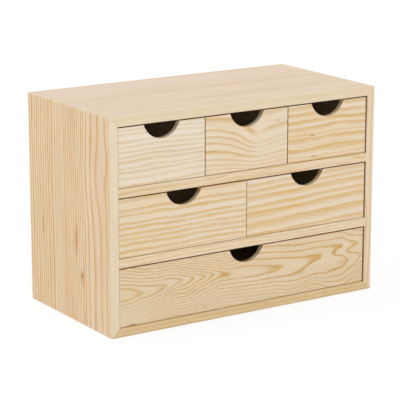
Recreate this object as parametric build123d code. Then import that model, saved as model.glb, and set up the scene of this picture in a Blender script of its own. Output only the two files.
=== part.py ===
from build123d import *

import os
from dataclasses import dataclass

# Desktop mini drawers in solid pine. A carcass of four boards, mitred at its corners, holds two
# shelves and three thin dividers behind a flush front. Six drawers slide in it: three in the top
# row, two in the middle row and a wide one at the bottom. Each is pulled by a round notch.
#
# Millimetres. X runs to the right as the drawers are faced, Y runs to the back and Z runs up. The
# origin is under the middle of the carcass, on the surface that it stands on.

# Carcass
WIDTH = 340.0
DEPTH = 176.0
BOARD = 10.0  # thickness of the outer boards and of the shelves
ROW_OPENING = 64.5  # clear height of each row
ROWS = 3
EDGE_EASE = 1.0  # rounding of the carcass's outer edges
FINE_EASE = 0.4  # rounding of every other front edge

# Back panel, let into a rebate round the back
BACK_SHEET = 3.0
REBATE_LEDGE = 5.0  # width of the rebate
SHEET_FIT = 0.5  # between the sheet and each wall of the rebate

# Dividers, which stand in housings behind the drawer fronts
DIVIDER = 5.0
HOUSING_DEPTH = 2.0
HOUSING_FIT = 0.05
DIVIDER_SETBACK = 1.0  # from the back of the drawer fronts

# Dowels that hold the shelves
DOWEL_RADIUS = 2.5
DOWEL_IN_SIDE = 6.0
DOWEL_IN_SHELF = 14.0
DOWEL_FIT = 0.05
DOWEL_EASE = 0.5
DOWEL_SPREAD = 55.0  # each side of the middle of the depth

# Drawer fronts
FRONT_BOARD = 6.0  # thickness
FRONT_RECESS = 1.2  # behind the front of the carcass
SIDE_GAP = 1.0  # between a front and the carcass side, with the drawers in the middle of their play
DRAWER_SHIFT = -0.3  # along X, of every drawer within that play
TOP_GAP = 1.4
BOTTOM_GAP = 0.3
TOP_ROW_GAP = 0.9  # between neighbouring fronts
MIDDLE_ROW_GAP = 0.5
NOTCH_RADIUS = 22.5
NOTCH_RISE = 6.5  # from the front's top edge up to the notch's centre

# Drawer boxes
BOX_BOARD = 5.0  # thickness of the sides and the back
BOX_SHEET = 3.0  # thickness of the base
RUN_GAP = 0.1  # under the box sides
REAR_GAP = 0.1  # behind a shut drawer, which the back panel stops
LIP = 3.0  # how far a front passes its box, over a divider
TONGUE = 3.0  # of each box side, let into the front
SHEET_RISE = 4.0  # from the foot of the box sides to the base sheet
GROOVE_DEPTH = 2.0
GROOVE_FIT = 0.1

# Brads
BRAD_LENGTH = 14.0
BRAD_RADIUS = 0.6
BRAD_TIP = 1.5  # length of its point
BRAD_TIP_RADIUS = 0.15
BRAD_HEAD_RADIUS = 1.1
BRAD_HEAD = 0.6  # thickness of its head
BRAD_FIT = 0.02
BOX_BRAD_RISES = (16.0, 50.0)  # above the foot of the box sides
PANEL_BRAD_COLUMNS = (-150.0, -75.0, 0.0, 75.0, 150.0)
SHELF_BRAD_COLUMNS = (-110.0, 0.0, 110.0)

HEIGHT = ROWS * ROW_OPENING + (ROWS + 1) * BOARD
LEFT, RIGHT = -WIDTH / 2, WIDTH / 2
FRONT, REAR = -DEPTH / 2, DEPTH / 2
INNER_LEFT, INNER_RIGHT = LEFT + BOARD, RIGHT - BOARD
INNER_REAR = REAR - BACK_SHEET
DRAWER_FRONT = FRONT + FRONT_RECESS
DRAWER_REAR = INNER_REAR - REAR_GAP
DIVIDER_FRONT = DRAWER_FRONT + FRONT_BOARD + DIVIDER_SETBACK
OVERCUT = 5.0  # how far a cutting shape runs past what it cuts
TOUCH = 0.01  # slack for finding a face or an edge by its place

FOOT = (Align.CENTER, Align.CENTER, Align.MIN)


def row_floor(row):
    """Height of the surface that the drawers of a row run on, counted from the bottom row, 0."""
    return BOARD + row * (ROW_OPENING + BOARD)


def block(x, y, z):
    """A cuboid between the low and high values given for each axis."""
    spans = (x, y, z)
    centre = [(low + high) / 2 for low, high in spans]
    return Pos(*centre) * Box(*[high - low for low, high in spans])


def many(solids):
    """Separate solids as one group."""
    return Compound(children=list(solids))


def ease(solid, radius, wanted):
    """The solid with each edge rounded whose middle passes the test wanted."""
    return fillet([e for e in solid.edges() if wanted(e.center())], radius)


def brad(head, into, grow=0.0):
    """A brad with its head flush at the point head, driven along into; grow turns it into its hole."""
    seat = Plane(origin=Vector(*head) - Vector(*into) * grow, z_dir=Vector(*into))
    straight = BRAD_LENGTH - BRAD_TIP + grow
    shank = Cylinder(BRAD_RADIUS + grow, straight, align=FOOT)
    tip = Pos(0, 0, straight) * Cone(BRAD_RADIUS + grow, BRAD_TIP_RADIUS + grow, BRAD_TIP + grow, align=FOOT)
    cap = Cylinder(BRAD_HEAD_RADIUS + grow, BRAD_HEAD + grow, align=FOOT)
    return seat * (shank + tip + cap)


def brads(places):
    """One brad for each (head, into) pair."""
    return many(brad(head, into) for head, into in places)


def drill(solid, places):
    """The solid with a snug hole for each brad."""
    for head, into in places:
        solid = solid - brad(head, into, BRAD_FIT)
    return solid


# ---- Carcass ----


def divider_places():
    """The X position and row of each divider: two in the top row and one in the middle row."""
    third = front_width(3, TOP_ROW_GAP) / 2 + TOP_ROW_GAP / 2
    return {
        "divider_top_left": (-third, 2),
        "divider_top_right": (third, 2),
        "divider_middle": (0.0, 1),
    }


def divider(x, row):
    """A thin upright board between two drawers, its ends in housings above and below it."""
    floor = row_floor(row)
    return block(
        (x - DIVIDER / 2, x + DIVIDER / 2),
        (DIVIDER_FRONT, INNER_REAR),
        (floor - HOUSING_DEPTH + HOUSING_FIT, floor + ROW_OPENING + HOUSING_DEPTH - HOUSING_FIT),
    )


def cut_housings(solid):
    """Cuts the housings of every divider, which are stopped short of the front."""
    for x, row in divider_places().values():
        floor = row_floor(row)
        half = DIVIDER / 2 + HOUSING_FIT
        solid = solid - block(
            (x - half, x + half),
            (DIVIDER_FRONT - HOUSING_FIT, INNER_REAR + OVERCUT),
            (floor - HOUSING_DEPTH, floor + ROW_OPENING + HOUSING_DEPTH),
        )
    return solid


def dowel_places():
    """The inner mouth of each dowel hole and the direction towards the side board."""
    middle = (FRONT + INNER_REAR) / 2
    places = []
    for row in range(1, ROWS):
        height = row_floor(row) - BOARD / 2
        for y in (middle - DOWEL_SPREAD, middle + DOWEL_SPREAD):
            places.append(((INNER_LEFT, y, height), (-1, 0, 0)))
            places.append(((INNER_RIGHT, y, height), (1, 0, 0)))
    return places


def dowel(mouth, towards, grow=0.0):
    """A beech dowel across the joint of a shelf and a side; grow turns it into its hole."""
    length = DOWEL_IN_SIDE + DOWEL_IN_SHELF
    start = Vector(*mouth) - Vector(*towards) * (DOWEL_IN_SHELF + grow)
    rod = Cylinder(DOWEL_RADIUS + grow, length + 2 * grow, align=FOOT)
    if not grow:
        rod = chamfer(rod.edges().filter_by(GeomType.CIRCLE), DOWEL_EASE)
    return Plane(origin=start, z_dir=Vector(*towards)) * rod


def cut_dowel_holes(solid):
    """Cuts the holes of every dowel."""
    for mouth, towards in dowel_places():
        solid = solid - dowel(mouth, towards, DOWEL_FIT)
    return solid


def back_brad_places():
    """Brads through the back panel: round its edge, and into the back of each shelf."""
    edge = REBATE_LEDGE / 2
    side_x = INNER_RIGHT + edge
    places = []
    for x in PANEL_BRAD_COLUMNS:
        places += [(x, BOARD - edge), (x, HEIGHT - BOARD + edge)]
    for row in range(ROWS):
        middle = row_floor(row) + ROW_OPENING / 2
        places += [(-side_x, middle), (side_x, middle)]
    for row in range(1, ROWS):
        places += [(x, row_floor(row) - BOARD / 2) for x in SHELF_BRAD_COLUMNS]
    return [((x, REAR, z), (0, -1, 0)) for x, z in places]


def outer_frame():
    """The four outer boards as one ring, with its edges eased and the rebate at its back."""
    ring = block((LEFT, RIGHT), (FRONT, REAR), (0, HEIGHT))
    ring = fillet(ring.edges(), EDGE_EASE)
    mouth_z = (BOARD, HEIGHT - BOARD)
    ring = ring - block((INNER_LEFT, INNER_RIGHT), (FRONT - OVERCUT, REAR + OVERCUT), mouth_z)
    ring = ease(
        ring,
        FINE_EASE,
        lambda p: abs(p.Y - FRONT) < TOUCH
        and abs(p.X) < INNER_RIGHT + TOUCH
        and mouth_z[0] - TOUCH < p.Z < mouth_z[1] + TOUCH,
    )
    ring = ring - block(
        (INNER_LEFT - REBATE_LEDGE, INNER_RIGHT + REBATE_LEDGE),
        (INNER_REAR, REAR + OVERCUT),
        (BOARD - REBATE_LEDGE, HEIGHT - BOARD + REBATE_LEDGE),
    )
    ring = cut_dowel_holes(cut_housings(ring))
    return drill(ring, back_brad_places())


def mitred_boards(ring):
    """The ring sawn into its four boards along the mitres, at 45 degrees through each corner."""
    reach = 2 * BOARD
    corners = {
        "bottom_left": (LEFT, 0.0),
        "bottom_right": (RIGHT, 0.0),
        "top_right": (RIGHT, HEIGHT),
        "top_left": (LEFT, HEIGHT),
    }
    sides = {
        "bottom_board": ("bottom_left", "bottom_right"),
        "right_board": ("bottom_right", "top_right"),
        "top_board": ("top_right", "top_left"),
        "left_board": ("top_left", "bottom_left"),
    }
    boards = {}
    for name, ends in sides.items():
        outer = [corners[end] for end in ends]
        inner = [(x - reach if x > 0 else x + reach, z - reach if z > 0 else z + reach) for x, z in outer]
        outline = Plane.XZ * make_face(Polyline(*outer, *reversed(inner), close=True))
        wedge = Pos(0, REAR + OVERCUT, 0) * extrude(outline, DEPTH + 2 * OVERCUT)
        boards[name] = ring & wedge
    return boards


def shelf(row):
    """The board under a row of drawers, flush with the front of the carcass."""
    floor = row_floor(row)
    board = block((INNER_LEFT, INNER_RIGHT), (FRONT, INNER_REAR), (floor - BOARD, floor))
    board = ease(board, FINE_EASE, lambda p: abs(p.Y - FRONT) < TOUCH and abs(p.X) < TOUCH)
    board = cut_dowel_holes(cut_housings(board))
    return drill(board, back_brad_places())


def back_panel():
    """A thin sheet in the rebate, flush with the back of the carcass."""
    reach = REBATE_LEDGE - SHEET_FIT
    sheet = block(
        (INNER_LEFT - reach, INNER_RIGHT + reach),
        (INNER_REAR, REAR),
        (BOARD - reach, HEIGHT - BOARD + reach),
    )
    return drill(sheet, back_brad_places())


def carcass():
    """Every piece of the carcass, by name."""
    pieces = mitred_boards(outer_frame())
    pieces["upper_shelf"] = shelf(2)
    pieces["lower_shelf"] = shelf(1)
    for name, (x, row) in divider_places().items():
        pieces[name] = divider(x, row)
    pieces["back_panel"] = back_panel()
    pieces["shelf_dowels"] = many(dowel(mouth, towards) for mouth, towards in dowel_places())
    pieces["back_panel_brads"] = brads(back_brad_places())
    return pieces


# ---- Drawers ----


def front_width(count, gap):
    """Width of each front in a row of count fronts that stand gap apart."""
    return (INNER_RIGHT - INNER_LEFT - 2 * SIDE_GAP - (count - 1) * gap) / count


@dataclass
class Drawer:
    """One drawer: the span of its front, the row that it is in, and how far its front laps past the box."""

    left: float
    right: float
    row: int
    left_lip: float
    right_lip: float

    @property
    def foot(self):
        """Height of the lower edge of the box sides."""
        return row_floor(self.row) + RUN_GAP

    @property
    def top(self):
        """Height of the top edge of the front and of the box."""
        return row_floor(self.row) + ROW_OPENING - TOP_GAP

    @property
    def box_left(self):
        """X of the outer face of the left box side."""
        return self.left + self.left_lip

    @property
    def box_right(self):
        """X of the outer face of the right box side."""
        return self.right - self.right_lip

    @property
    def sheet_foot(self):
        """Height of the underside of the base sheet."""
        return self.foot + SHEET_RISE

    def side(self, outer, inward):
        """A box side, not yet grooved, with its outer face at X outer and its front end in the front."""
        inner = outer + inward * BOX_BOARD
        return block(
            (min(outer, inner), max(outer, inner)),
            (DRAWER_FRONT + FRONT_BOARD - TONGUE, DRAWER_REAR),
            (self.foot, self.top),
        )

    def grooves(self):
        """The space cut from the front and the sides to take the base sheet."""
        return block(
            (self.box_left + BOX_BOARD - GROOVE_DEPTH, self.box_right - BOX_BOARD + GROOVE_DEPTH),
            (DRAWER_FRONT + FRONT_BOARD - GROOVE_DEPTH, DRAWER_REAR + OVERCUT),
            (self.sheet_foot - GROOVE_FIT, self.sheet_foot + BOX_SHEET + GROOVE_FIT),
        )

    def front(self):
        """The front board, with its finger notch, and cut behind for the box sides and the base."""
        low = row_floor(self.row) + BOTTOM_GAP
        board = block(
            (self.left, self.right),
            (DRAWER_FRONT, DRAWER_FRONT + FRONT_BOARD),
            (low, self.top),
        )
        notch = Cylinder(NOTCH_RADIUS, FRONT_BOARD + 2 * OVERCUT, rotation=(90, 0, 0))
        middle = (self.left + self.right) / 2
        board = board - Pos(middle, DRAWER_FRONT, self.top + NOTCH_RISE) * notch
        board = ease(board, FINE_EASE, lambda p: abs(p.Y - DRAWER_FRONT) < TOUCH)
        board = board - self.side(self.box_left, 1) - self.side(self.box_right, -1)
        return board - self.grooves()

    def back(self):
        """The back board of the box, between the sides and on the base sheet."""
        return block(
            (self.box_left + BOX_BOARD, self.box_right - BOX_BOARD),
            (DRAWER_REAR - BOX_BOARD, DRAWER_REAR),
            (self.sheet_foot + BOX_SHEET, self.top),
        )

    def base(self):
        """The base sheet, in the grooves of the front and the sides."""
        reach = GROOVE_DEPTH - GROOVE_FIT
        return block(
            (self.box_left + BOX_BOARD - reach, self.box_right - BOX_BOARD + reach),
            (DRAWER_FRONT + FRONT_BOARD - reach, DRAWER_REAR),
            (self.sheet_foot, self.sheet_foot + BOX_SHEET),
        )

    def brad_places(self):
        """Two brads through each side into the back board, and two up through the base sheet."""
        y = DRAWER_REAR - BOX_BOARD / 2
        places = []
        for rise in BOX_BRAD_RISES:
            places.append(((self.box_left, y, self.foot + rise), (1, 0, 0)))
            places.append(((self.box_right, y, self.foot + rise), (-1, 0, 0)))
        quarter = (self.box_right - self.box_left) / 4
        middle = (self.box_left + self.box_right) / 2
        for x in (middle - quarter, middle + quarter):
            places.append(((x, y, self.sheet_foot), (0, 0, 1)))
        return places

    def pieces(self):
        """Every piece of the drawer, by name."""
        places = self.brad_places()
        return {
            "front": self.front(),
            "left_side": drill(self.side(self.box_left, 1) - self.grooves(), places),
            "right_side": drill(self.side(self.box_right, -1) - self.grooves(), places),
            "back": drill(self.back(), places),
            "base": drill(self.base(), places),
            "brads": brads(places),
        }


def drawers():
    """The six drawers, by name. A front laps its box only where a divider stands beside it."""
    small = front_width(3, TOP_ROW_GAP)
    medium = front_width(2, MIDDLE_ROW_GAP)
    left = INNER_LEFT + SIDE_GAP + DRAWER_SHIFT
    right = INNER_RIGHT - SIDE_GAP + DRAWER_SHIFT
    return {
        "drawer_top_left": Drawer(left, left + small, 2, 0.0, LIP),
        "drawer_top_centre": Drawer(DRAWER_SHIFT - small / 2, DRAWER_SHIFT + small / 2, 2, LIP, LIP),
        "drawer_top_right": Drawer(right - small, right, 2, LIP, 0.0),
        "drawer_middle_left": Drawer(left, left + medium, 1, 0.0, LIP),
        "drawer_middle_right": Drawer(right - medium, right, 1, LIP, 0.0),
        "drawer_bottom": Drawer(left, right, 0, 0.0, 0.0),
    }


def main():
    """Builds every piece and writes each one to its own file."""
    pieces = carcass()
    for name, drawer in drawers().items():
        for piece, solid in drawer.pieces().items():
            pieces[f"{name}_{piece}"] = solid
    os.makedirs("parts", exist_ok=True)
    for name, solid in pieces.items():
        export_step(solid, f"parts/{name}.step")


main()
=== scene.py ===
"""Looks for a set of desktop mini drawers in bare pine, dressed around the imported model.

A board's figure is written in millimetres, as a joiner would measure it on the board, and in the model's
own frame. Along, across and through are the three ways of a board: with the grain, over its face, and
into its thickness. Patches of noise, seams and sheets of plywood are in millimetres too. All other
lengths are in metres.
"""

import logging
import math
from dataclasses import dataclass, field
from enum import Enum
from typing import Self

import bpy
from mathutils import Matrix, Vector


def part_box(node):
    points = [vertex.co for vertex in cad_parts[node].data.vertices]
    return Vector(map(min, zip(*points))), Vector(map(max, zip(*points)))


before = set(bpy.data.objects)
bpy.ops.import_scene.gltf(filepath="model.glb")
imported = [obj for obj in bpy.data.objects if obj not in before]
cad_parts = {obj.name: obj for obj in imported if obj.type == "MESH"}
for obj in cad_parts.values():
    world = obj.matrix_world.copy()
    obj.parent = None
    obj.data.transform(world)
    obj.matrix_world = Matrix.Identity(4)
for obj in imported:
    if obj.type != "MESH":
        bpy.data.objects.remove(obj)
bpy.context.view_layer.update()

log = logging.getLogger("mini_drawers")

Tone = tuple[int, int, int]
Spot = tuple[float, float]
Triple = tuple[float, float, float]
Pairs = tuple[tuple[float, float], ...]

MM = 1000.0  # millimetres in a metre
DIAGONAL = 0.7071  # the sine of a mitre's 45 degrees

# Patches of noise, along, across and through a board. What is added to a board's seed where they are used
# only keeps them apart.
DRIFT = (150.0, 34.0, 34.0)  # rings that stray from end to end
SWAY = (42.0, 9.0, 9.0)  # rings that stray within a few centimetres
RIPPLE = (17.0, 6.0, 6.0)  # rings that stray within one
FRAY = (7.0, 0.5, 0.5)  # fibres that blur the edge of a ring
UNEVEN = (38.0, 4.0, 4.0)  # stretches where a ring is darker or paler
WISPS = (48.0, 1.5, 1.5)  # faint streaks between the rings
YEARS = (900.0, 17.0, 17.0)  # rings that lie wider or closer
BLUSHES = (110.0, 16.0, 16.0)  # pinker patches
STREAKS = (70.0, 1.6, 1.6)  # long bundles of fibres
FIBRES = (9.0, 0.35, 0.35)  # single fibres
PEELED = (260.0, 34.0, 400.0)  # waves in a peeled veneer
VENEER_STREAKS = (60.0, 1.2, 1.2)
VENEER_PORES = (5.0, 0.4, 0.4)
BEECH_FLECKS = (2.2, 0.3, 0.3)
BEECH_STREAKS = (30.0, 0.8, 0.8)
STEEL_DULLED = (0.9, 0.9, 0.9)
STEEL_SCUFFS = (0.15, 0.15, 1.2)
FLOOR_SPECKLE = (4.0, 4.0, 4.0)

NOISE_STRIDE = (97.0, 53.0, 31.0)  # how far apart two seeds lie, in millimetres
NOISE_SCALE = 1.0
NOISE_ROUGHNESS = 0.55

# How high a relief of 1 stands.
PINE_RELIEF = 0.00006
PLYWOOD_RELIEF = 0.00005
BEECH_RELIEF = 0.00004
STEEL_RELIEF = 0.00002
FLOOR_RELIEF = 0.00001

WOOD_SPECULAR = 0.35
SQUARE_ON = (0.5, 0.9)  # the part of a face's normal that starts to count as one way, and that counts fully
EDGE_ON = (0.7, 0.4)  # the same for a sheet's edge, by the part of the normal through the sheet

# Painted shade: pine in gaps and corners, closed in by other wood, is darkened towards a brown tone in place
# of the shade that falls there.
CRACK_REACH = 0.004  # how near the walls of a crack stand
CRACK_SHUT = (0.3, 0.85)  # the share of the air shut out where a crack starts to darken and is darkest
CRACK_LIFT = (3.0, 7.0)  # the heights in millimetres over which the painted shade fades in, since the floor makes no crack
PAINTED_SHADE_DARK = 0.9
AIR_RAYS = 8

RING_RISE = ((1.0, 0.0), (0.7, 0.3), (0.35, 0.78), (0.0, 1.0))  # shares of the way to go and of the dark
RING_GAP = 0.05  # the least way between two points of the curve, as a share of a ring's own way
EVEN_RING = 0.7077  # the dark of every ring of a board that lists none, before its contrast
EVEN_FALL = (1.0, 0.88)  # where such a ring ends, and where it is darkest, as shares of the pitch
ARCH_TIP = 6.5  # how far from the ridge a fork reaches, in millimetres

KNOT_FLOW = (1.6, 2.4)  # how far the rings bend round a knot, in its lengths along and its widths across
KNOT_PULL = 0.7  # the share of their way from its middle by which they bend
KNOT_DEEP = 20.0  # the size of its unevenness through the board, in millimetres
KNOT_RIM = (196, 142, 92)

# The colour sockets of a Mix node.
MIX_FIRST, MIX_SECOND, MIX_OUT = 6, 7, 2


def linear(tone: Tone) -> tuple[float, float, float, float]:
    """Turns a tone as a screen shows it into the linear colour that a shader takes.

    Args:
        tone: red, green and blue, each 0 to 255.

    Returns:
        The linear colour, with an alpha of 1.
    """
    parts = (value / 255 for value in tone)
    red, green, blue = (part / 12.92 if part < 0.0405 else ((part + 0.055) / 1.055) ** 2.4 for part in parts)
    return (red, green, blue, 1.0)


# ---- Sums in nodes ----


class Signal:
    """A number or a vector that runs through a material's nodes, so that sums read as sums."""

    def __init__(self, tree: bpy.types.NodeTree, socket: bpy.types.NodeSocket) -> None:
        """Takes the node tree, and the output that carries the value."""
        self.tree = tree
        self.socket = socket

    def into(self, target: bpy.types.NodeSocket) -> None:
        """Links the value to an input."""
        self.tree.links.new(self.socket, target)

    def through(self, kind: str, *values: object, **settings: object) -> Self:
        """Runs the value through a new node.

        Args:
            kind: the type of node.
            values: what the inputs after the first get, in order: a signal, a constant, or None to leave one.
            settings: the node's own settings.

        Returns:
            The node's first output.
        """
        node = self.tree.nodes.new(kind)
        for name, value in settings.items():
            setattr(node, name, value)
        self.into(node.inputs[0])
        for socket, value in zip(list(node.inputs)[1:], values):
            if isinstance(value, Signal):
                value.into(socket)
            elif value is not None:
                socket.default_value = value
        return type(self)(self.tree, node.outputs[0])

    def math(self, operation: str, *values: object) -> Self:
        """The value and others through one operation of arithmetic."""
        return self.through("ShaderNodeMath", *values, operation=operation)

    def vector(self, operation: str, *values: object) -> Self:
        """The vector and others through one operation on vectors."""
        return self.through("ShaderNodeVectorMath", *values, operation=operation)

    def __add__(self, other: object) -> Self:
        """The sum of two values."""
        return self.math("ADD", other)

    def __sub__(self, other: object) -> Self:
        """The difference of two values."""
        return self.math("SUBTRACT", other)

    def __mul__(self, other: object) -> Self:
        """The product of two values."""
        return self.math("MULTIPLY", other)

    def __truediv__(self, other: object) -> Self:
        """One value over another."""
        return self.math("DIVIDE", other)

    def hill(self) -> Self:
        """A bell: 1 where the value is 0, and next to nothing beyond 2 either way."""
        return (self * self * -1.0).math("EXPONENT")

    def step(self, low: float, high: float) -> Self:
        """A smooth step from 0 at low to 1 at high."""
        return self.through("ShaderNodeMapRange", low, high, 0.0, 1.0, interpolation_type="SMOOTHSTEP")

    def curve(self, points: Pairs) -> Self:
        """A curve drawn through points.

        Args:
            points: pairs of value in and value out, by rising value in.

        Returns:
            The value out, which stays level beyond the first and the last point.
        """
        low, high = points[0][0], points[-1][0]
        least = min(out for _, out in points)
        reach = max(out for _, out in points) - least
        share = self.through("ShaderNodeMapRange", low, high, 0.0, 1.0)
        node = self.tree.nodes.new("ShaderNodeFloatCurve")
        share.into(node.inputs["Value"])
        line = node.mapping.curves[0]
        while len(line.points) < len(points):
            line.points.new(0.5, 0.5)
        for spot, (value, out) in zip(line.points, points):
            spot.location = ((value - low) / (high - low), (out - least) / reach)
            spot.handle_type = "AUTO_CLAMPED"
        node.mapping.update()
        return type(self)(self.tree, node.outputs[0]) * reach + least

    def noise(self, patch: Triple, seed: float, detail: float = 2.0) -> Self:
        """Smooth noise over a vector in millimetres.

        Args:
            patch: the size of a patch along, across and through the board.
            seed: moves the noise, so that no two boards match.
            detail: how many finer layers lie on it.

        Returns:
            A value about 0, seldom beyond 0.25 either way.
        """
        moved = self.vector("ADD", tuple(seed * stride for stride in NOISE_STRIDE))
        scaled = moved.vector("DIVIDE", patch)
        return scaled.through("ShaderNodeTexNoise", None, NOISE_SCALE, detail, NOISE_ROUGHNESS) - 0.5

    def mix(self, tone: Tone, share: Self) -> Self:
        """Blends a tone into this colour.

        Args:
            tone: the tone.
            share: how much of it, 0 to 1.

        Returns:
            The blended colour.
        """
        node = self.tree.nodes.new("ShaderNodeMix")
        node.data_type = "RGBA"
        share.into(node.inputs[0])
        self.into(node.inputs[MIX_FIRST])
        node.inputs[MIX_SECOND].default_value = linear(tone)
        return type(self)(self.tree, node.outputs[MIX_OUT])

    def lit(self, gain: Self) -> Self:
        """The colour, lighter or darker.

        Args:
            gain: the number that it is multiplied by.

        Returns:
            The new colour.
        """
        node = self.tree.nodes.new("ShaderNodeVectorMath")
        node.operation = "SCALE"
        self.into(node.inputs[0])
        gain.into(node.inputs["Scale"])
        return type(self)(self.tree, node.outputs[0])


def split(vector: Signal) -> tuple[Signal, Signal, Signal]:
    """Takes a vector apart.

    Args:
        vector: the vector.

    Returns:
        Its three parts.
    """
    node = vector.tree.nodes.new("ShaderNodeSeparateXYZ")
    vector.into(node.inputs[0])
    first, second, third = (Signal(vector.tree, out) for out in node.outputs)
    return first, second, third


def patch_of(along: Signal, across: Signal, middle: Spot, reach: Spot) -> Signal:
    """A soft patch in the face of a board.

    Args:
        along: the place along the board.
        across: the place across it.
        middle: the middle of the patch, along and across.
        reach: how far it reaches, along and across.

    Returns:
        1 in the middle, and next to nothing beyond twice the reach.
    """
    return ((along - middle[0]) / reach[0]).hill() * ((across - middle[1]) / reach[1]).hill()


@dataclass
class Finish:
    """A material under way: its shader and where on the object it is.

    Attributes:
        name: the material's name.
        made: the material.
        shader: its shader.
    """

    name: str
    made: bpy.types.Material = field(init=False)
    shader: bpy.types.ShaderNodeBsdfPrincipled = field(init=False)

    def __post_init__(self) -> None:
        """Makes the material."""
        self.made = bpy.data.materials.new(self.name)
        self.made.use_nodes = True
        self.shader = self.made.node_tree.nodes["Principled BSDF"]

    def source(self, kind: str, out: str) -> Signal:
        """An output of a new node that has no inputs of its own."""
        return Signal(self.made.node_tree, self.made.node_tree.nodes.new(kind).outputs[out])

    def place(self) -> Signal:
        """The place on the object, in millimetres, in the model's frame at rest."""
        return self.source("ShaderNodeTexCoord", "Object").vector("MULTIPLY", (MM, MM, MM))

    def facing(self) -> tuple[Signal, Signal, Signal]:
        """How far the surface looks along X, Y and Z, either way, from 0 to 1."""
        first, second, third = split(self.source("ShaderNodeNewGeometry", "Normal"))
        return first.math("ABSOLUTE"), second.math("ABSOLUTE"), third.math("ABSOLUTE")

    def closed_in(self, reach: float) -> Signal:
        """How far a place is closed in by what stands near it, the mask of the wood's painted shade: 0 in the
        open, and 1 in a crack.

        Args:
            reach: how near that is.

        Returns:
            The share of the air that is shut out.
        """
        air = self.source("ShaderNodeAmbientOcclusion", "AO")
        air.socket.node.inputs["Distance"].default_value = reach
        air.socket.node.samples = AIR_RAYS
        return air * -1.0 + 1.0

    def tone(self, tone: Tone) -> Signal:
        """Starts a colour, to mix others into.

        Args:
            tone: the tone that it starts with.

        Returns:
            The colour.
        """
        colour = self.source("ShaderNodeRGB", "Color")
        colour.socket.default_value = linear(tone)
        return colour

    def set(self, **values: float) -> None:
        """Sets constants on the shader's own sockets, by their names with _ for a space."""
        for name, value in values.items():
            self.shader.inputs[name.replace("_", " ")].default_value = value

    def paint(self, colour: Signal, roughness: Signal, relief: Signal, depth: float) -> bpy.types.Material:
        """Ends the material.

        Args:
            colour: the colour.
            roughness: the roughness, 0 to 1.
            relief: the height of the surface, 0 to 1.
            depth: what a relief of 1 stands for.

        Returns:
            The material.
        """
        colour.into(self.shader.inputs["Base Color"])
        roughness.into(self.shader.inputs["Roughness"])
        bump = self.made.node_tree.nodes.new("ShaderNodeBump")
        bump.inputs["Strength"].default_value = 1.0
        bump.inputs["Distance"].default_value = depth
        relief.into(bump.inputs["Height"])
        Signal(self.made.node_tree, bump.outputs[0]).into(self.shader.inputs["Normal"])
        return self.made


def dress(node: str, material: bpy.types.Material) -> None:
    """Gives a node of the model its material, and reports it.

    Args:
        node: the node's name.
        material: what all its faces wear.
    """
    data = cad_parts[node].data
    data.materials.clear()
    data.materials.append(material)
    log.info("%s wears %s", node, material.name)


# ---- What a board's grain does ----


class Way(Enum):
    """How a board lies: which of X, Y and Z run along, across and through it."""

    FRONT = (0, 2, 1)
    UPRIGHT = (2, 1, 0)
    LEVEL = (0, 1, 2)
    DEEP = (1, 2, 0)


def turned(vector: Signal, way: Way) -> Signal:
    """Turns a vector to a board.

    Args:
        vector: the vector in the model's frame.
        way: how the board lies.

    Returns:
        The vector along, across and through the board.
    """
    parts = split(vector)
    node = vector.tree.nodes.new("ShaderNodeCombineXYZ")
    for socket, axis in zip(node.inputs, way.value):
        parts[axis].into(socket)
    return Signal(vector.tree, node.outputs[0])


@dataclass(frozen=True)
class Ring:
    """The dark end of one growth ring.

    Attributes:
        at: its place across the board, or its number where there are arches.
        dark: how dark it gets, where 1 is the wood's full deep tone.
        under: the way over which it darkens, below that place.
        over: the way over which it is pale again, above that place.
    """

    at: float
    dark: float
    under: float = 1.7
    over: float = 1.1


@dataclass(frozen=True)
class Bow:
    """A place where the rings bend aside.

    Attributes:
        along: its middle along the board.
        across: its middle across the board.
        reach_along: how far it reaches along the board.
        reach_across: how far it reaches across the board.
        lift: how far the rings move at its middle, in millimetres, or in rings where there are arches.
    """

    along: float
    across: float
    reach_along: float
    reach_across: float
    lift: float

    def near(self, along: Signal, across: Signal) -> Signal:
        """How near a place is to the middle, from 0 to 1."""
        return patch_of(along, across, (self.along, self.across), (self.reach_along, self.reach_across))


@dataclass(frozen=True)
class Knot:
    """A knot that the rings flow round.

    Attributes:
        along: its middle along the board.
        across: its middle across the board.
        long: its size along the board.
        wide: its size across the board.
        dark: how far its tone covers the wood, from 0 to 1.
        tone: the tone of its core.
    """

    along: float
    across: float
    long: float
    wide: float
    dark: float
    tone: Tone = (120, 72, 44)


@dataclass(frozen=True)
class Mark:
    """A stain, a streak of resin, a chip or a paler patch.

    Attributes:
        along: its middle along the board.
        across: its middle across the board.
        long: its size along the board.
        wide: its size across the board.
        strength: how far its tone covers the wood, from 0 to 1.
        tone: its tone.
    """

    along: float
    across: float
    long: float
    wide: float
    strength: float
    tone: Tone = (150, 98, 58)


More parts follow.
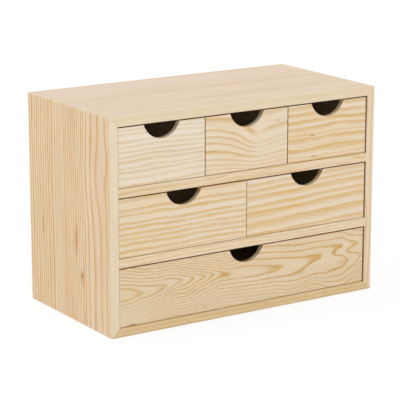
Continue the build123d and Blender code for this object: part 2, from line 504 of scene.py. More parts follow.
@dataclass(frozen=True)
class Arches:
    """Nested arches of a board sawn near the heart, as curves along the board.

    Attributes:
        ridge: where the tips of the arches lie, across the board.
        count: the number of the ring on the ridge.
        above: rings to a millimetre, well above the ridge.
        below: rings to a millimetre, well below it.
        round_above: how far above the ridge an arch takes to straighten, in millimetres.
        round_below: the same below it.
        fork: the rings by which the tips fall back on the ridge itself, which makes them double.
        shifts: places where the rings come early or late.
    """

    ridge: Pairs
    count: Pairs
    above: Pairs
    below: Pairs
    round_above: Pairs
    round_below: Pairs
    fork: Pairs
    shifts: tuple[Bow, ...] = ()

    def ring(self, along: Signal, across: Signal) -> Signal:
        """The number of the ring at a place on the board.

        Args:
            along: the place along the board.
            across: the place across it.

        Returns:
            The number, which rises by 1 from ring to ring on the way out from the ridge.
        """
        off = across - along.curve(self.ridge)
        number = along.curve(self.count) + (off / ARCH_TIP).hill() * along.curve(self.fork)
        above, below = (self.above, self.round_above), (self.below, self.round_below)
        for side, (rate, soft) in ((off, above), (off * -1.0, below)):
            out, bend = side.math("MAXIMUM", 0.0), along.curve(soft)
            number = number + ((out * out + bend * bend).math("SQRT") - bend) * along.curve(rate)
        for shift in self.shifts:
            number = number + shift.near(along, across) * shift.lift
        return number


@dataclass(frozen=True)
class Figure:
    """The grain of one board.

    Attributes:
        way: how the board lies.
        rings: the dark ring ends by their place across the board, or by number where there are arches.
        pitch: the spacing of the rings where none are given.
        contrast: the darkness of the darkest of those rings.
        wisps: the darkness of the short faint streaks between the rings.
        face: the place, through the board, of the face that the figure was measured on.
        lean: how far across the rings move for each millimetre through the board.
        wander: how far they stray from end to end.
        wobble: how far they stray within a few centimetres.
        fray: how far the fibres blur them.
        bows: where they bend aside.
        knots: the knots, which they flow round.
        marks: the stains, streaks and chips.
        arches: how the rings nest, if they do.
        seed: which of all such boards it is.
    """

    way: Way
    rings: tuple[Ring, ...] = ()
    pitch: float = 4.5
    contrast: float = 0.45
    wisps: float = 0.14
    face: float = 0.0
    lean: float = 0.5
    wander: float = 5.0
    wobble: float = 2.0
    fray: float = 2.4
    bows: tuple[Bow, ...] = ()
    knots: tuple[Knot, ...] = ()
    marks: tuple[Mark, ...] = ()
    arches: Arches | None = None
    seed: float = 1.0

    def dark(self, grain: Signal) -> Signal:
        """How dark the wood is at a place in the board.

        Args:
            grain: the place along, across and through the board.

        Returns:
            0 in the pale wood of spring, up to 1 in the dark end of a ring.
        """
        along, across = self._strayed(grain)
        for bow in self.bows:
            across = across - bow.near(along, across) * bow.lift
        for knot in self.knots:
            reach = (knot.long * KNOT_FLOW[0], knot.wide * KNOT_FLOW[1])
            near = patch_of(along, across, (knot.along, knot.across), reach)
            across = across - (across - knot.across) * near * KNOT_PULL
        if self.arches:
            across = self.arches.ring(along, across)
        uneven = grain.noise(UNEVEN, self.seed + 6.6, 3.0) * 1.5 + 1.0
        wisps = grain.noise(WISPS, self.seed + 8.8).step(0.02, 0.26) * self.wisps
        if self.rings:
            return across.curve(self._profile()) * uneven + wisps
        turn = across / self.pitch + grain.noise(YEARS, self.seed + 9.1) * 3.0
        part = turn.math("FRACT")
        rise = part * part * part.step(*EVEN_FALL)
        return rise * uneven * (EVEN_RING * self.contrast) + wisps

    def _strayed(self, grain: Signal) -> tuple[Signal, Signal]:
        """The place that the rings of a board have strayed from.

        Args:
            grain: the place along, across and through the board.

        Returns:
            The place along the board, and the place across it where the ring would lie if all were straight.
        """
        along, across, through = split(grain)
        across = across + (through - self.face) * self.lean
        for patch, apart, detail, reach in (
            (DRIFT, 0.0, 2.0, self.wander),
            (SWAY, 3.3, 2.0, self.wobble),
            (RIPPLE, 2.7, 2.0, self.wobble * 0.4),
            (FRAY, 4.4, 1.0, self.fray),
        ):
            across = across + grain.noise(patch, self.seed + apart, detail) * reach
        return along, across

    def _profile(self) -> Pairs:
        """The darkness across the board.

        Returns:
            The points of a curve from the place across, or the ring's number, to the darkness.
        """
        points: list[tuple[float, float]] = []
        for ring in self.rings:
            for back, share in RING_RISE:
                at = ring.at - ring.under * back
                if not points or at > points[-1][0] + ring.under * RING_GAP:
                    points.append((at, ring.dark * share))
            points.append((ring.at + ring.over, 0.0))
        return tuple(points)


# ---- Finishes ----


@dataclass(frozen=True)
class Seam:
    """A glued mitre, seen as a hairline on the faces that it crosses.

    Attributes:
        corner: its outer corner, as X and Z.
        lean: the signs of X and Z on the way in from that corner.
        half: half its width.
        strength: how much darker it is.
    """

    corner: Spot
    lean: tuple[int, int]
    half: float = 0.35
    strength: float = 0.07

    def shade(self, place: Signal) -> Signal:
        """How much darker the wood is for the seam.

        Args:
            place: the place on the object.

        Returns:
            The share of its light that it loses.
        """
        x, _, z = split(place)
        aside = (x - self.corner[0]) * (self.lean[0] * DIAGONAL)
        up = (z - self.corner[1]) * (self.lean[1] * DIAGONAL)
        return ((aside - up) / self.half).hill() * self.strength


@dataclass(frozen=True)
class BarePine:
    """Planed and sanded pine with no finish on it.

    Attributes:
        pale: the wood of spring.
        deep: the dark end of a ring.
        blush: the pinker patches of the pale wood.
        crack: the brown tone of the painted shade in gaps and corners.
        rim: the front edges, where they differ.
        streaky: how much the long bundles of fibres vary.
        fibrous: how much the single fibres vary.
        cut_ends: how much darker the end grain is.
        roughness: the roughness of the pale wood.
    """

    pale: Tone = (237, 220, 192)
    deep: Tone = (214, 170, 106)
    blush: Tone = (234, 211, 180)
    crack: Tone = (160, 94, 36)
    rim: Tone | None = None
    streaky: float = 0.16
    fibrous: float = 0.07
    cut_ends: float = 0.2
    roughness: float = 0.6

    def material(self, name: str, figure: Figure, seams: tuple[Seam, ...] = ()) -> bpy.types.Material:
        """Makes the wood of one board.

        Args:
            name: the material's name.
            figure: the board's grain.
            seams: the glued seams that the board ends on.

        Returns:
            The material.
        """
        finish = Finish(name)
        place = finish.place()
        grain = turned(place, figure.way)
        dark = figure.dark(grain)
        streaks = grain.noise(STREAKS, figure.seed + 1.9, 3.0)
        fibres = grain.noise(FIBRES, figure.seed + 7.1)
        facing = finish.facing()
        colour = self._figured(finish, grain, figure, dark, facing[1])
        ends = facing[figure.way.value[0]].step(*SQUARE_ON)
        gain = streaks * self.streaky + fibres * self.fibrous + 1.0 - ends * (fibres * 0.5 + self.cut_ends)
        for seam in seams:
            gain = gain - seam.shade(place)
        # Painted shade: where other wood stands near, the colour is darkened towards the crack tone, away
        # from the floor.
        painted_shade = finish.closed_in(CRACK_REACH).step(*CRACK_SHUT) * split(place)[2].step(*CRACK_LIFT)
        colour = colour.mix(self.crack, painted_shade * PAINTED_SHADE_DARK).lit(gain)
        rough = fibres * 0.25 - dark * 0.08 + self.roughness
        relief = fibres * 0.5 + dark * 0.35 + streaks * 0.4
        finish.set(Specular_IOR_Level=WOOD_SPECULAR)
        return finish.paint(colour, rough, relief, PINE_RELIEF)

    def _figured(self, finish: Finish, grain: Signal, figure: Figure, dark: Signal, front: Signal) -> Signal:
        """The colour of the wood with its rings, knots and marks.

        Args:
            finish: the material under way.
            grain: the place along, across and through the board.
            figure: the board's grain.
            dark: how dark its rings make it.
            front: how far the surface looks to the front or the back.

        Returns:
            The colour.
        """
        along, across, _ = split(grain)
        patches = grain.noise(BLUSHES, figure.seed + 5.7)
        colour = finish.tone(self.pale).mix(self.blush, patches.step(-0.12, 0.2))
        if self.rim:
            colour = colour.mix(self.rim, front.step(*SQUARE_ON))
        colour = colour.mix(self.deep, dark)
        for knot in figure.knots:
            colour = self._knotted(colour, grain, knot, figure.seed)
        for mark in figure.marks:
            near = patch_of(along, across, (mark.along, mark.across), (mark.long, mark.wide))
            colour = colour.mix(mark.tone, near * mark.strength)
        return colour

    def _knotted(self, colour: Signal, grain: Signal, knot: Knot, seed: float) -> Signal:
        """Blends one knot into the colour: a dark core with its own fine rings, and a warm rim.

        Args:
            colour: the colour of the wood.
            grain: the place along, across and through the board.
            knot: the knot.
            seed: which of all such boards it is.

        Returns:
            The colour with the knot.
        """
        along, across, _ = split(grain)
        off = ((along - knot.along) / knot.long).math("POWER", 2.0)
        off = off + ((across - knot.across) / knot.wide).math("POWER", 2.0)
        off = off.math("SQRT") + grain.noise((knot.long, knot.wide, KNOT_DEEP), seed + 2.2) * 0.6
        rings = (off * 9.0).math("SINE") * 0.12 + 0.88
        rim = off.step(2.0, 0.6) * (knot.dark * 0.55)
        core = off.step(1.0, 0.45) * rings * knot.dark
        return colour.mix(KNOT_RIM, rim).mix(knot.tone, core)


@dataclass(frozen=True)
class Plywood:
    """Thin plywood of three plies, its face a peeled veneer.

    Attributes:
        veneer: the face.
        line: the darker lines of the face.
        core: the middle ply, where its end shows.
        way: how the face's grain runs.
        core_share: half the width of the middle ply, as a share of the sheet.
    """

    veneer: Tone = (226, 203, 168)
    line: Tone = (206, 174, 130)
    core: Tone = (168, 128, 86)
    way: Way = Way.LEVEL
    core_share: float = 0.19

    def material(self, name: str, low: float, thickness: float, seed: float) -> bpy.types.Material:
        """Makes one sheet.

        Args:
            name: the material's name.
            low: the lower face of the sheet, in millimetres through it.
            thickness: the sheet's thickness in millimetres.
            seed: which sheet it is.

        Returns:
            The material.
        """
        finish = Finish(name)
        grain = turned(finish.place(), self.way)
        _, across, through = split(grain)
        waves = across * 0.06 + grain.noise(PEELED, seed) * 4.5
        lines = (waves * 7.0).math("SINE").step(-0.2, 1.0)
        streaks = grain.noise(VENEER_STREAKS, seed + 1.9, 3.0)
        pores = grain.noise(VENEER_PORES, seed + 4.4)
        middle = ((through - (low + thickness / 2)) / (thickness * self.core_share)).hill()
        edge = finish.facing()[self.way.value[2]].step(*EDGE_ON)
        colour = finish.tone(self.veneer).mix(self.line, lines * 0.3).mix(self.core, middle * edge * 0.8)
        colour = colour.lit(streaks * 0.16 + pores * 0.12 + 1.0 - edge * 0.08)
        finish.set(Specular_IOR_Level=WOOD_SPECULAR)
        return finish.paint(colour, pores * 0.2 + 0.62, pores + streaks * 0.5, PLYWOOD_RELIEF)


@dataclass(frozen=True)
class Beech:
    """Beech of the dowels, pinkish and full of short flecks.

    Attributes:
        body: the wood.
        fleck: its flecks.
    """

    body: Tone = (214, 178, 140)
    fleck: Tone = (172, 126, 88)

    def material(self, name: str) -> bpy.types.Material:
        """Makes the beech.

        Args:
            name: the material's name.

        Returns:
            The material.
        """
        finish = Finish(name)
        grain = finish.place()
        flecks = grain.noise(BEECH_FLECKS, 4.0, 1.0).step(0.1, 0.2)
        streaks = grain.noise(BEECH_STREAKS, 2.0, 3.0)
        colour = finish.tone(self.body).mix(self.fleck, flecks * 0.6).lit(streaks * 0.2 + 1.0)
        return finish.paint(colour, flecks * 0.1 + 0.55, streaks + flecks * -0.4, BEECH_RELIEF)


@dataclass(frozen=True)
class BrightSteel:
    """Drawn steel of the brads, dulled in places.

    Attributes:
        body: the steel.
        dull: the steel where it is dulled.
    """

    body: Tone = (176, 174, 170)
    dull: Tone = (122, 116, 108)

    def material(self, name: str) -> bpy.types.Material:
        """Makes the steel.

        Args:
            name: the material's name.

        Returns:
            The material.
        """
        finish = Finish(name)
        place = finish.place()
        dull = place.noise(STEEL_DULLED, 3.0, 4.0).step(0.0, 0.2)
        scuffs = place.noise(STEEL_SCUFFS, 6.0)
        finish.set(Metallic=1.0)
        colour = finish.tone(self.body).mix(self.dull, dull * 0.7)
        return finish.paint(colour, dull * 0.2 + scuffs * 0.2 + 0.32, scuffs, STEEL_RELIEF)


# ---- Boards, as they lie in this set ----

FRONT_FACE = -86.8  # the face of every drawer's front, along Y in millimetres

TOP_LEFT = Figure(
    Way.FRONT,
    rings=(
        Ring(161.0, 0.6, 2.2), Ring(168.5, 0.45, 2.2), Ring(175.0, 0.6, 2.2), Ring(179.5, 0.45, 2.0),
        Ring(186.5, 0.6, 4.0, 1.5), Ring(191.5, 0.55, 3.0, 1.5), Ring(196.5, 0.5, 2.2),
        Ring(201.5, 0.45, 2.2), Ring(207.0, 0.5, 2.6), Ring(214.5, 0.45, 3.0), Ring(219.0, 0.4, 2.2),
        Ring(223.0, 0.3, 2.0),
    ),
    bows=(
        Bow(-50.0, 215.0, 32.0, 16.0, -2.5), Bow(-50.0, 166.0, 45.0, 16.0, 3.5),
        Bow(-115.0, 190.0, 20.0, 12.0, 1.5),
    ),
    face=FRONT_FACE,
    wander=3.0,
    wobble=2.2,
    seed=1.0,
)
TOP_CENTRE = Figure(
    Way.FRONT,
    rings=(
        Ring(157.0, 0.4, 2.0), Ring(161.0, 0.5, 2.2), Ring(165.0, 0.5, 2.2), Ring(169.5, 0.5, 2.2),
        Ring(176.0, 0.6, 2.6), Ring(185.0, 0.8, 4.5, 1.5), Ring(194.0, 0.65, 3.0), Ring(201.0, 0.65, 3.0),
        Ring(208.0, 0.6, 3.5), Ring(220.0, 0.7, 6.0, 1.5), Ring(231.0, 0.5, 4.0), Ring(240.0, 0.4, 4.0),
    ),
    bows=(
        Bow(11.0, 191.0, 25.0, 25.0, -17.5),
        Bow(52.0, 195.0, 28.0, 28.0, -12.0),
        Bow(-24.0, 205.0, 16.0, 26.0, -2.0),
        Bow(25.0, 222.0, 32.0, 12.0, -6.0),
    ),
    marks=(
        Mark(39.5, 209.0, 2.5, 1.2, 0.5, (196, 140, 112)),
        Mark(17.0, 194.0, 7.0, 26.0, 0.7, (240, 224, 198)),
        Mark(40.0, 184.0, 19.0, 19.0, 0.6, (240, 220, 192)),
    ),
    face=FRONT_FACE,
    wander=2.5,
    wobble=1.6,
    seed=2.0,
)
TOP_RIGHT = Figure(
    Way.FRONT,
    rings=(
        Ring(161.0, 0.7, 2.6, 1.4), Ring(165.0, 0.55, 2.4), Ring(174.0, 0.9, 7.5, 1.4),
        Ring(177.5, 0.4, 2.0), Ring(185.0, 0.85, 7.0, 1.2), Ring(189.5, 0.6, 3.0),
        Ring(196.5, 0.8, 5.0, 1.2), Ring(203.5, 0.9, 4.6), Ring(212.0, 0.75, 5.5, 1.4),
        Ring(220.0, 0.7, 5.5, 1.6), Ring(225.0, 0.4, 3.0),
    ),
    bows=(Bow(75.0, 170.0, 22.0, 14.0, -1.6), Bow(120.0, 205.0, 22.0, 30.0, 1.5)),
    marks=(
        Mark(86.0, 187.0, 3.0, 0.7, 0.7),
        Mark(88.0, 163.5, 3.0, 0.7, 0.6),
    ),
    face=FRONT_FACE,
    wander=5.0,
    wobble=3.4,
    seed=3.0,
)
MIDDLE_LEFT = Figure(
    Way.FRONT,
    rings=(
        Ring(87.0, 0.6, 3.0), Ring(92.5, 0.75, 6.0, 1.4), Ring(99.5, 0.8, 4.4), Ring(105.0, 0.75, 3.8),
        Ring(110.0, 0.75, 3.8), Ring(116.5, 0.8, 4.2), Ring(121.5, 0.85, 4.0), Ring(131.0, 0.8, 4.6),
        Ring(137.0, 0.8, 5.0, 1.4), Ring(147.5, 0.75, 5.0), Ring(152.0, 0.5, 3.0),
    ),
    face=FRONT_FACE,
    wander=6.0,
    wobble=4.6,
    seed=4.0,
)
MIDDLE_RIGHT = Figure(
    Way.FRONT,
    rings=(
        Ring(80.0, 0.5, 4.0), Ring(88.0, 0.75, 8.0, 0.9), Ring(100.5, 0.8, 11.0, 0.9),
        Ring(112.0, 0.8, 8.0, 0.9), Ring(119.0, 0.75, 5.5, 0.9), Ring(129.5, 0.8, 8.5, 0.9),
        Ring(136.0, 0.7, 5.0, 0.9), Ring(143.0, 0.65, 5.5, 0.9), Ring(151.0, 0.6, 6.0, 0.9),
    ),
    bows=(Bow(160.0, 112.0, 85.0, 60.0, 4.5), Bow(0.0, 115.0, 45.0, 40.0, -1.5)),
    face=FRONT_FACE,
    wander=4.0,
    wobble=2.6,
    seed=5.0,
)
BOTTOM = Figure(
    Way.FRONT,
    rings=(
        Ring(1, 0.6, 0.42, 0.18), Ring(2, 0.7, 0.42, 0.2), Ring(3, 0.6, 0.4, 0.18),
        Ring(4, 0.75, 0.4, 0.18), Ring(5, 0.65, 0.42, 0.18), Ring(6, 0.75, 0.42, 0.18),
        Ring(7, 0.9, 0.42, 0.16), Ring(8, 0.75, 0.3, 0.14), Ring(9, 0.95, 0.26, 0.1),
        Ring(10, 0.95, 0.26, 0.1), Ring(11, 0.75, 0.32, 0.14), Ring(12, 0.6, 0.36, 0.16),
        Ring(13, 0.7, 0.4, 0.18), Ring(14, 0.6, 0.4, 0.18), Ring(15, 0.7, 0.4, 0.18),
        Ring(16, 0.55, 0.4, 0.18), Ring(17, 0.65, 0.4, 0.18), Ring(18, 0.6, 0.4, 0.18),
        Ring(19, 0.6, 0.4, 0.18),
    ),
    arches=Arches(
        ridge=(
            (-160, 45), (-133, 44), (-103, 47), (-83, 50), (-44, 50), (-28, 48), (0, 46), (45, 44.5),
            (80, 47), (100, 49), (160, 49),
        ),
        count=(
            (-160, 0.15), (-148, 0.35), (-140, 0.7), (-133, 1), (-118, 1.45), (-103, 2), (-83, 3), (-68, 4),
            (-54, 5), (-43, 6), (-26, 7), (0, 7.35), (45, 8), (100, 9), (119, 9.02), (129, 9.04),
            (138, 9.6), (154, 10.05), (165, 10.4),
        ),
        above=(
            (-160, 0.28), (-120, 0.33), (-90, 0.36), (-60, 0.38), (-20, 0.26), (10, 0.15), (80, 0.145),
            (120, 0.147), (160, 0.17),
        ),
        below=(
            (-160, 0.26), (-120, 0.3), (-100, 0.32), (-70, 0.27), (0, 0.27), (40, 0.28), (80, 0.32),
            (100, 0.26), (113, 0.21), (135, 0.2), (150, 0.24),
        ),
        round_above=((-160, 9), (-120, 9), (-90, 5), (-60, 3), (0, 4), (160, 5)),
        round_below=((-160, 5), (-100, 5), (0, 8), (40, 14), (80, 30), (135, 30), (155, 12)),
        fork=((100, 0), (119, 0.98), (130, 1.35), (138, 1.4), (160, 1.5)),
        shifts=(
            Bow(92.0, 28.0, 24.0, 7.0, -0.8), Bow(-78.0, 35.0, 8.0, 6.0, -0.45),
            Bow(-60.0, 38.0, 8.0, 6.0, 0.35), Bow(-102.0, 33.0, 9.0, 6.0, -0.5),
            Bow(-88.0, 38.0, 8.0, 5.0, 0.3),
        ),
    ),
    marks=(
        Mark(-148.0, 20.0, 30.0, 12.0, 1.0, (236, 216, 182)),
        Mark(10.0, 17.0, 60.0, 8.0, 0.45, (234, 213, 178)),
        Mark(-27.0, 47.0, 7.0, 3.0, 0.5, (212, 160, 84)),
        Mark(34.0, 45.0, 12.0, 2.6, 0.4, (214, 164, 88)),
        Mark(88.0, 48.5, 9.0, 3.0, 0.4, (214, 164, 88)),
        Mark(70.0, 34.0, 10.0, 3.0, 0.35, (214, 164, 88)),
        Mark(130.0, 36.0, 7.0, 3.5, 0.35, (214, 164, 88)),
        Mark(-144.0, 11.4, 5.0, 0.9, 0.7, (120, 80, 50)),
        Mark(-12.0, 29.5, 2.5, 0.8, 0.5, (214, 150, 60)),
    ),
    face=FRONT_FACE,
    lean=0.3,
    wander=2.0,
    wobble=1.6,
    seed=6.0,
)
LEFT_BOARD = Figure(
    Way.UPRIGHT,
    rings=(
        Ring(-85.5, 0.4, 2.0), Ring(-79.5, 0.75, 3.5, 1.4), Ring(-67.5, 0.75, 4.5, 1.4),
        Ring(-53.5, 0.8, 6.0, 1.6), Ring(-42.5, 0.85, 3.2, 1.0), Ring(-35.0, 1.0, 2.4, 0.8),
        Ring(-30.0, 1.05, 2.4, 0.8), Ring(-25.0, 0.9, 2.0, 0.7), Ring(-20.5, 1.0, 2.0, 0.7),
        Ring(-16.0, 0.9, 1.8, 0.7), Ring(-12.0, 1.0, 1.8, 0.7), Ring(-8.0, 0.9, 1.8, 0.7),
        Ring(-4.0, 0.95, 1.8, 0.7), Ring(0.0, 1.05, 1.8, 0.7), Ring(4.0, 0.9, 1.8, 0.7),
        Ring(8.5, 1.2, 2.6, 1.0), Ring(13.5, 0.6, 2.2, 0.8), Ring(18.5, 0.45, 2.2, 0.8),
        Ring(23.5, 0.45, 2.2, 0.8), Ring(28.5, 0.6, 2.2, 0.8), Ring(35.0, 1.2, 2.8, 1.0),
        Ring(39.5, 0.9, 1.8, 0.7), Ring(44.0, 1.15, 2.4, 0.8), Ring(49.0, 0.95, 2.0, 0.7),
        Ring(53.5, 0.9, 1.8, 0.7), Ring(58.0, 1.05, 2.0, 0.7), Ring(63.0, 0.95, 2.0, 0.7),
        Ring(68.0, 1.1, 2.6, 0.8), Ring(73.5, 0.95, 2.2, 0.7), Ring(79.5, 1.15, 2.8, 0.8),
        Ring(85.0, 1.0, 2.2, 0.7),
    ),
    bows=(
        Bow(168.0, -57.0, 42.0, 16.0, 10.5),
        Bow(168.0, -36.0, 36.0, 8.0, 4.0),
        Bow(240.0, -60.0, 34.0, 20.0, 5.0),
        Bow(190.0, -82.0, 16.0, 7.0, -3.5),
        Bow(62.0, -57.0, 24.0, 6.0, -2.0),
        Bow(165.0, 64.0, 30.0, 10.0, 3.0),
    ),
    knots=(
        Knot(53.5, -28.0, 5.5, 2.6, 0.9, (178, 98, 42)),
        Knot(92.0, -16.0, 16.0, 3.2, 0.55, (216, 138, 74)),
        Knot(92.0, 57.0, 12.0, 3.0, 0.25, (198, 150, 92)),
    ),
    marks=(
        Mark(185.0, -82.0, 13.0, 1.8, 0.7, (222, 156, 82)),
        Mark(160.0, -76.0, 9.0, 1.4, 0.6, (222, 156, 82)),
        Mark(205.0, -50.5, 14.0, 1.4, 0.5, (222, 158, 86)),
        Mark(45.0, -29.5, 5.0, 2.4, 0.6, (208, 146, 84)),
        Mark(110.0, 21.0, 90.0, 9.0, 0.22, (216, 176, 126)),
        Mark(115.0, -68.0, 150.0, 20.0, 0.32, (226, 190, 152)),
    ),
    face=-170.0,
    lean=-0.6,
    wander=4.0,
    wobble=3.2,
    fray=1.0,
    seed=7.0,
)
RIGHT_BOARD = Figure(Way.UPRIGHT, pitch=5.5, contrast=1.0, lean=0.7, wander=9.0, seed=8.0)
TOP_BOARD = Figure(
    Way.LEVEL,
    rings=tuple(Ring(-88.0 + 9.0 * number, 0.16 + 0.07 * (number % 3), 6.0, 3.0) for number in range(21)),
    wisps=0.1,
    marks=(
        Mark(40.0, 12.0, 150.0, 8.0, 0.4, (222, 188, 146)),
        Mark(60.0, -39.0, 150.0, 8.0, 0.4, (222, 190, 150)),
        Mark(-20.0, 60.0, 190.0, 9.0, 0.6, (238, 221, 212)),
    ),
    face=233.5,
    lean=0.8,
    wander=14.0,
    wobble=3.0,
    seed=9.0,
)
BOTTOM_BOARD = Figure(Way.LEVEL, pitch=4.5, contrast=0.7, lean=0.8, wander=12.0, seed=10.0)
UPPER_SHELF = Figure(
    Way.LEVEL,
    pitch=4.4,
    contrast=1.1,
    lean=-0.8,
    wander=12.0,
    bows=(Bow(70.0, -88.0, 70.0, 30.0, 9.0),),
    seed=11.0,
)
LOWER_SHELF = Figure(Way.LEVEL, pitch=4.0, contrast=0.9, lean=0.8, wander=14.0, seed=12.0)

# What is added to the seed of a drawer's front for its other boards, and the seeds of the case's hidden ones.
SIDES_APART, REAR_APART, BASE_APART = 40.0, 48.0, 60.0
FIRST_DIVIDER, BACK_PANEL = 20, 31.0


# ---- Sub-assemblies ----


@dataclass
class Carcass:
    """The case: four mitred boards, two shelves, three dividers and the back.

    Attributes:
        width: overall.
        height: overall.
        back_sheet: the thickness of the back.
    """

    width: float = 0.340
    height: float = 0.2335
    back_sheet: float = 0.003

    def seams(self) -> dict[str, tuple[Seam, ...]]:
        """The mitres that each board ends on.

        Returns:
            The two seams of each outer board, by its node.
        """
        side, top = self.width * MM / 2, self.height * MM
        low_left, low_right = Seam((-side, 0.0), (1, 1)), Seam((side, 0.0), (-1, 1))
        high_left, high_right = Seam((-side, top), (1, -1)), Seam((side, top), (-1, -1))
        return {
            "left_board": (low_left, high_left),
            "right_board": (low_right, high_right),
            "top_board": (high_left, high_right),
            "bottom_board": (low_left, low_right),
        }

    def dress_boards(self) -> None:
        """Gives the outer boards and the shelves their wood."""
        seams = self.seams()
        side = BarePine((234, 213, 181), (215, 165, 98), (233, 206, 172), rim=(242, 226, 198))
        far_side = BarePine((236, 216, 185), (216, 168, 100), (234, 208, 175), rim=(241, 222, 192))
        rail = BarePine((242, 223, 194), (223, 179, 108), (239, 214, 178))
        low = BarePine((232, 204, 160), (209, 164, 98), (229, 198, 154))
        lid = BarePine((238, 220, 196), (217, 178, 126), (236, 215, 191), rim=(238, 218, 186))
        for node, wood, figure in (
            ("left_board", side, LEFT_BOARD),
            ("right_board", far_side, RIGHT_BOARD),
            ("top_board", lid, TOP_BOARD),
            ("bottom_board", low, BOTTOM_BOARD),
            ("upper_shelf", rail, UPPER_SHELF),
            ("lower_shelf", rail, LOWER_SHELF),
        ):
            dress(node, wood.material(f"pine_{node}", figure, seams.get(node, ())))

    def dress_dividers(self) -> None:
        """Gives the boards between the drawers their wood."""
        dividers = ("divider_top_left", "divider_top_right", "divider_middle")
        for seed, node in enumerate(dividers, FIRST_DIVIDER):
            dress(node, BarePine().material(f"pine_{node}", Figure(Way.DEEP, pitch=6.0, seed=seed)))

    def dress_back(self) -> None:
        """Gives the back its plywood and the dowels their beech."""
        low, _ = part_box("back_panel")
        sheet = Plywood(way=Way.FRONT)
        dress("back_panel", sheet.material("plywood_back", low.y * MM, self.back_sheet * MM, BACK_PANEL))
        dress("shelf_dowels", Beech().material("beech_dowels"))


@dataclass
class Drawer:
    """One drawer: its front with the round notch, a box of thin boards, and a plywood base.

    Attributes:
        name: the drawer's body, whose nodes' names start with it.
        figure: the grain of the front.
        wood: the pine of the front.
        base_sheet: the thickness of the base.
    """

    name: str
    figure: Figure
    wood: BarePine
    base_sheet: float = 0.003

    def dress_front(self) -> None:
        """Gives the front its own board."""
        dress(f"{self.name}_front", self.wood.material(f"pine_{self.name}_front", self.figure))

    def dress_box(self) -> None:
        """Gives the sides and the back of the box their wood."""
        inside = BarePine(pale=(240, 228, 208), deep=(219, 181, 132), blush=(239, 223, 200))
        figure = Figure(Way.DEEP, pitch=5.5, wander=10.0, seed=self.figure.seed + SIDES_APART)
        sides = inside.material(f"pine_{self.name}_sides", figure)
        dress(f"{self.name}_left_side", sides)
        dress(f"{self.name}_right_side", sides)
        figure = Figure(Way.FRONT, pitch=6.5, wander=10.0, seed=self.figure.seed + REAR_APART)
        dress(f"{self.name}_back", inside.material(f"pine_{self.name}_back", figure))

    def dress_base(self) -> None:
        """Gives the base its plywood."""
        low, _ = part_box(f"{self.name}_base")
        sheet, seed = Plywood(way=Way.LEVEL), self.figure.seed + BASE_APART
        made = sheet.material(f"plywood_{self.name}", low.z * MM, self.base_sheet * MM, seed)
        dress(f"{self.name}_base", made)


@dataclass(frozen=True)
class Lamp:
    """A broad lamp, far off.

    Attributes:
        name: where it stands.
        strength: its light, in watts on a square metre.
        spread: how broad it looks, in degrees.
        way: which way it stands from the object.
    """

    name: str
    strength: float
    spread: float
    way: Triple

    def hang(self) -> None:
        """Hangs the lamp and turns it to the object."""
        lamp = bpy.data.lights.new(self.name, "SUN")
        lamp.energy = self.strength
        lamp.angle = math.radians(self.spread)
        holder = bpy.data.objects.new(self.name, lamp)
        holder.rotation_mode = "QUATERNION"
        holder.rotation_quaternion = Vector(self.way).to_track_quat("Z", "Y")
        bpy.context.scene.collection.objects.link(holder)


LAMPS = (
    Lamp("front", 1.12, 20.0, (-0.08, -1.0, 0.11)),
    Lamp("left", 1.06, 45.0, (-1.0, 0.2, 0.3)),
    Lamp("above", 0.72, 60.0, (-0.1, -0.1, 1.0)),
    Lamp("right", 0.9, 45.0, (1.0, 0.1, 0.3)),
    Lamp("behind", 0.9, 45.0, (-0.2, 1.0, 0.3)),
)


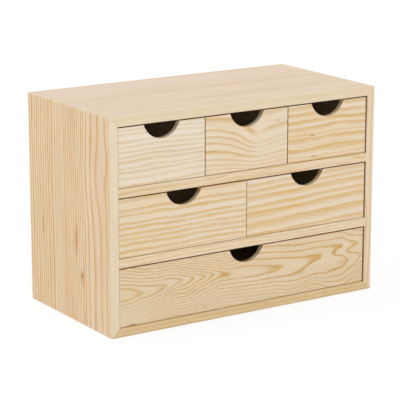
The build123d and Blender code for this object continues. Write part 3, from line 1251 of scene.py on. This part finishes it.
@dataclass
class Studio:
    """A white sweep, soft light, and the camera.

    Attributes:
        reach: half the side of the floor.
        drop: how far the floor lies below the object, so that the two never share a plane.
        white: the tone of the floor.
        glow: the strength of the white that the camera sees in the floor.
        glow_share: how much of the floor's look that white is, and the rest keeps the shadow.
        room: the strength of the light from all round.
        azimuth: the camera's angle round the object, in degrees.
        elevation: its angle above the horizon, in degrees.
        distance: how far it stands off.
        lens: its focal length in millimetres.
        sensor: the width of its sensor in millimetres.
        right: how far it stands to the right of the line to the object's middle.
        rise: how far above that line.
    """

    reach: float = 6.0
    drop: float = 0.0002
    white: Tone = (205, 204, 202)
    glow: float = 1.2
    glow_share: float = 0.7
    room: float = 0.45
    azimuth: float = -33.02
    elevation: float = 13.90
    distance: float = 1.9949
    lens: float = 161.46
    sensor: float = 36.0
    right: float = -0.00306
    rise: float = -0.00842

    def floor(self) -> None:
        """Lays the floor, which is white to the camera and keeps a faint shadow."""
        mesh = bpy.data.meshes.new("floor")
        corners = [(x * self.reach, y * self.reach, 0.0) for x, y in ((-1, -1), (1, -1), (1, 1), (-1, 1))]
        mesh.from_pydata(corners, [], [(0, 1, 2, 3)])
        floor = bpy.data.objects.new("floor", mesh)
        floor.location.z = -self.drop
        bpy.context.scene.collection.objects.link(floor)
        finish = Finish("white_floor")
        speckle = finish.place().noise(FLOOR_SPECKLE, 1.0)
        finish.set(Specular_IOR_Level=0.0)
        colour = finish.tone(self.white).lit(speckle * 0.01 + 1.0)
        mesh.materials.append(finish.paint(colour, speckle * 0.1 + 0.9, speckle, FLOOR_RELIEF))
        tree = finish.made.node_tree
        kinds = ("Emission", "MixShader", "LightPath")
        glow, blend, path = (tree.nodes.new(f"ShaderNode{kind}") for kind in kinds)
        share = Signal(tree, path.outputs["Is Camera Ray"]) + Signal(tree, path.outputs["Is Glossy Ray"])
        share = share + Signal(tree, path.outputs["Is Transmission Ray"])
        share = share.math("MINIMUM", 1.0) * self.glow_share
        glow.inputs["Strength"].default_value = self.glow
        share.into(blend.inputs[0])
        tree.links.new(finish.shader.outputs[0], blend.inputs[1])
        tree.links.new(glow.outputs[0], blend.inputs[2])
        tree.links.new(blend.outputs[0], tree.nodes["Material Output"].inputs["Surface"])

    def light(self) -> None:
        """Sets soft light all round and broad lamps that add up to a plain level."""
        world = bpy.data.worlds.new("white_room")
        bpy.context.scene.world = world
        world.use_nodes = True
        tree = world.node_tree
        room = tree.nodes["Background"]
        room.inputs["Color"].default_value = (1.0, 1.0, 1.0, 1.0)
        path = tree.nodes.new("ShaderNodeLightPath")
        seen = Signal(tree, path.outputs["Is Camera Ray"]) + Signal(tree, path.outputs["Is Transmission Ray"])
        (seen.math("MINIMUM", 1.0) * (1.0 - self.room) + self.room).into(room.inputs["Strength"])
        for lamp in LAMPS:
            lamp.hang()

    def camera(self, height: float) -> None:
        """Stands the camera where the photograph was taken from.

        Args:
            height: the object's height.
        """
        turn, tilt = math.radians(self.azimuth), math.radians(self.elevation)
        back = Vector((math.sin(turn) * math.cos(tilt), -math.cos(turn) * math.cos(tilt), math.sin(tilt)))
        right = Vector((math.cos(turn), math.sin(turn), 0.0))
        up = back.cross(right)
        middle = Vector((0.0, 0.0, height / 2))
        data = bpy.data.cameras.new("camera")
        data.sensor_width = self.sensor
        data.lens = self.lens
        camera = bpy.data.objects.new("camera", data)
        camera.location = middle + back * self.distance + right * self.right + up * self.rise
        camera.rotation_mode = "QUATERNION"
        camera.rotation_quaternion = back.to_track_quat("Z", "Y")
        bpy.context.scene.collection.objects.link(camera)
        bpy.context.scene.camera = camera


def main() -> None:
    """Builds the studio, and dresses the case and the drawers."""
    logging.basicConfig(level=logging.INFO, format="%(name)s: %(message)s")
    bpy.context.scene.view_settings.view_transform = "Standard"
    studio = Studio()
    studio.floor()
    studio.light()
    carcass = Carcass()
    studio.camera(carcass.height)
    carcass.dress_boards()
    carcass.dress_dividers()
    carcass.dress_back()
    drawers = [
        Drawer(f"drawer_{place}", figure, BarePine(*tones))
        for place, figure, tones in (
            ("top_left", TOP_LEFT, ((243, 230, 212), (224, 189, 126), (241, 225, 203))),
            ("top_centre", TOP_CENTRE, ((241, 225, 201), (222, 180, 112), (239, 216, 184))),
            ("top_right", TOP_RIGHT, ((241, 224, 198), (227, 186, 120), (240, 214, 178))),
            ("middle_left", MIDDLE_LEFT, ((241, 225, 201), (228, 190, 128), (240, 218, 184))),
            ("middle_right", MIDDLE_RIGHT, ((241, 224, 200), (229, 189, 123), (240, 217, 184))),
            ("bottom", BOTTOM, ((236, 216, 185), (217, 170, 94), (233, 210, 173))),
        )
    ]
    steel = BrightSteel().material("bright_steel_brads")
    dress("back_panel_brads", steel)
    for drawer in drawers:
        drawer.dress_front()
        drawer.dress_box()
        drawer.dress_base()
        dress(f"{drawer.name}_brads", steel)


if __name__ == "__main__":
    main()
